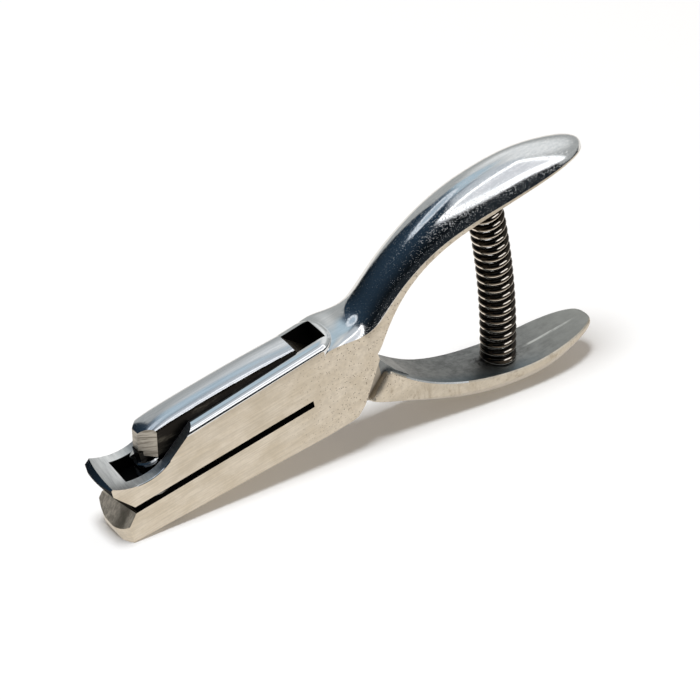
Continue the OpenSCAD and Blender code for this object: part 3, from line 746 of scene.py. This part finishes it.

# Return spring
# One hard-drawn steel wire wound in 21 curls round an axis that bows to the rear. Its end
# curls lie flat on the handles' faces, round the studs.
# painted highlights: a bright line along the front of each curl, and a bright dash once more at
# its side
wire_skin, shader, start = finish("spring_wire")
lift = start.node("Attribute", output="Fac", attribute_name="lift")
near = start.node("SeparateXYZ", {0: in_slot(start)}, 1) * -1
line = lift + near.between(0.5, 4.0) * 0.36
crest = line.between(-0.24, -0.12) * (1 - line.between(0.1, 0.22))
painted_glint = near.between(3.98, 4.08) * lift.between(0.42, 0.52) * (1 - lift.between(0.66, 0.74))
# painted shade: the rest of the wire dark, browner low on its outer side
colour = lift.between(-0.8, 0.8).mix((0.16, 0.12, 0.085), (0.03, 0.026, 0.022))
colour = (crest + painted_glint).mix(colour, (0.92, 0.84, 0.74))
dress(shader, start, colour, 0.18)

CURLS, COIL_R, WIRE_R, BEND, END_GAP = 21, 3.52, 0.83, 1.3, 0.08
SEAT_LOW, SEAT_HIGH = Vector((98.62, 0, -22.409)), Vector((102.32, 0, 22.804))
TILT_LOW, TILT_HIGH = math.radians(15.8), math.radians(3.27)
SIDE = Vector((0, 1, 0))
OUT_LOW = Vector((math.sin(TILT_LOW), 0, math.cos(TILT_LOW)))
OUT_HIGH = Vector((math.sin(TILT_HIGH), 0, -math.cos(TILT_HIGH)))
first = SEAT_LOW + OUT_LOW * (WIRE_R + END_GAP)
last = SEAT_HIGH + OUT_HIGH * (WIRE_R + END_GAP)


def spring_axis(u):
    """The middle of the curls, from the lower seat at 0 to the upper one at 1."""
    return first + (last - first) * u + Vector((4 * BEND * u * (1 - u), 0, 0))


# The first and the last three quarters of a turn lie flat on the two seats. The curls rise
# softly from there, and in the first and the last tenth of the way they lean as the seat does.
STEPS, SIDES = 32, 16
FLAT, EASE, LEANING = 0.75, 0.03, 0.1
path = []
for i in range(STEPS * CURLS + 1):
    turns = i / STEPS
    u = min(max((turns - FLAT) / (CURLS - 2 * FLAT), 0), 1)
    if u < EASE:
        u = u * u / (2 * EASE)
    elif u > 1 - EASE:
        u = 1 - (1 - u) ** 2 / (2 * EASE)
    else:
        u = EASE / 2 + (u - EASE) * (1 - EASE) / (1 - 2 * EASE)
    upright = (spring_axis(min(u + 0.01, 1)) - spring_axis(max(u - 0.01, 0))).normalized()
    low, high = max(1 - u / LEANING, 0), max(1 - (1 - u) / LEANING, 0)
    upright = (upright * (1 - low - high) + OUT_LOW * low - OUT_HIGH * high).normalized()
    forward = SIDE.cross(upright)
    t = math.pi + 2 * math.pi * turns
    middle = spring_axis(u)
    path.append((middle + COIL_R * (math.cos(t) * forward + math.sin(t) * SIDE), middle))
rings = []
for i, (point, middle) in enumerate(path):
    along = (path[min(i + 1, len(path) - 1)][0] - path[max(i - 1, 0)][0]).normalized()
    outward = point - middle
    outward = (outward - along * outward.dot(along)).normalized()
    sideways = along.cross(outward)
    rings.append([point + WIRE_R * (math.cos(t) * outward + math.sin(t) * sideways)
                  for t in [2 * math.pi * k / SIDES for k in range(SIDES)]])
spring = loft("wound_spring", rings, (), [wire_skin], lambda column: 0, levels=0)

# how high each place on the wire's outer half stands, from -1 below to 1 above
nearest = KDTree(len(path))
for i, (point, _) in enumerate(path):
    nearest.insert(point, i)
nearest.balance()
lift = spring.data.attributes.new("lift", "FLOAT", "POINT")
rise = (SEAT_HIGH - SEAT_LOW).normalized()
for value, corner in zip(lift.data, spring.data.vertices):
    point, middle = path[nearest.find(corner.co)[1]]
    offset = corner.co - point
    outer = offset.dot((point - middle).normalized()) > 0
    value.value = offset.dot(rise) / WIRE_R if outer else 1
settle(spring, 50)
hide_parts("return_spring")
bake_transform(spring)

# Pins, punch, die and studs
# Turned pieces, as in the CAD: the pivot pin is ground flush with the body's sides, and the
# punch, its cross pin, the die and the studs are bright tool steel.
turned, shader, start = finish("turned_steel")
dress(shader, start, (0.7, 0.7, 0.7), 0.12)
for name in ("pivot_pin", "punch", "cross_pin", "die", "upper_spring_stud",
             "lower_spring_stud"):
    for place in frame["nodes"][name].material_slots:
        place.material = ground if name == "pivot_pin" else turned

bpy.context.scene.view_settings.view_transform = "Standard"
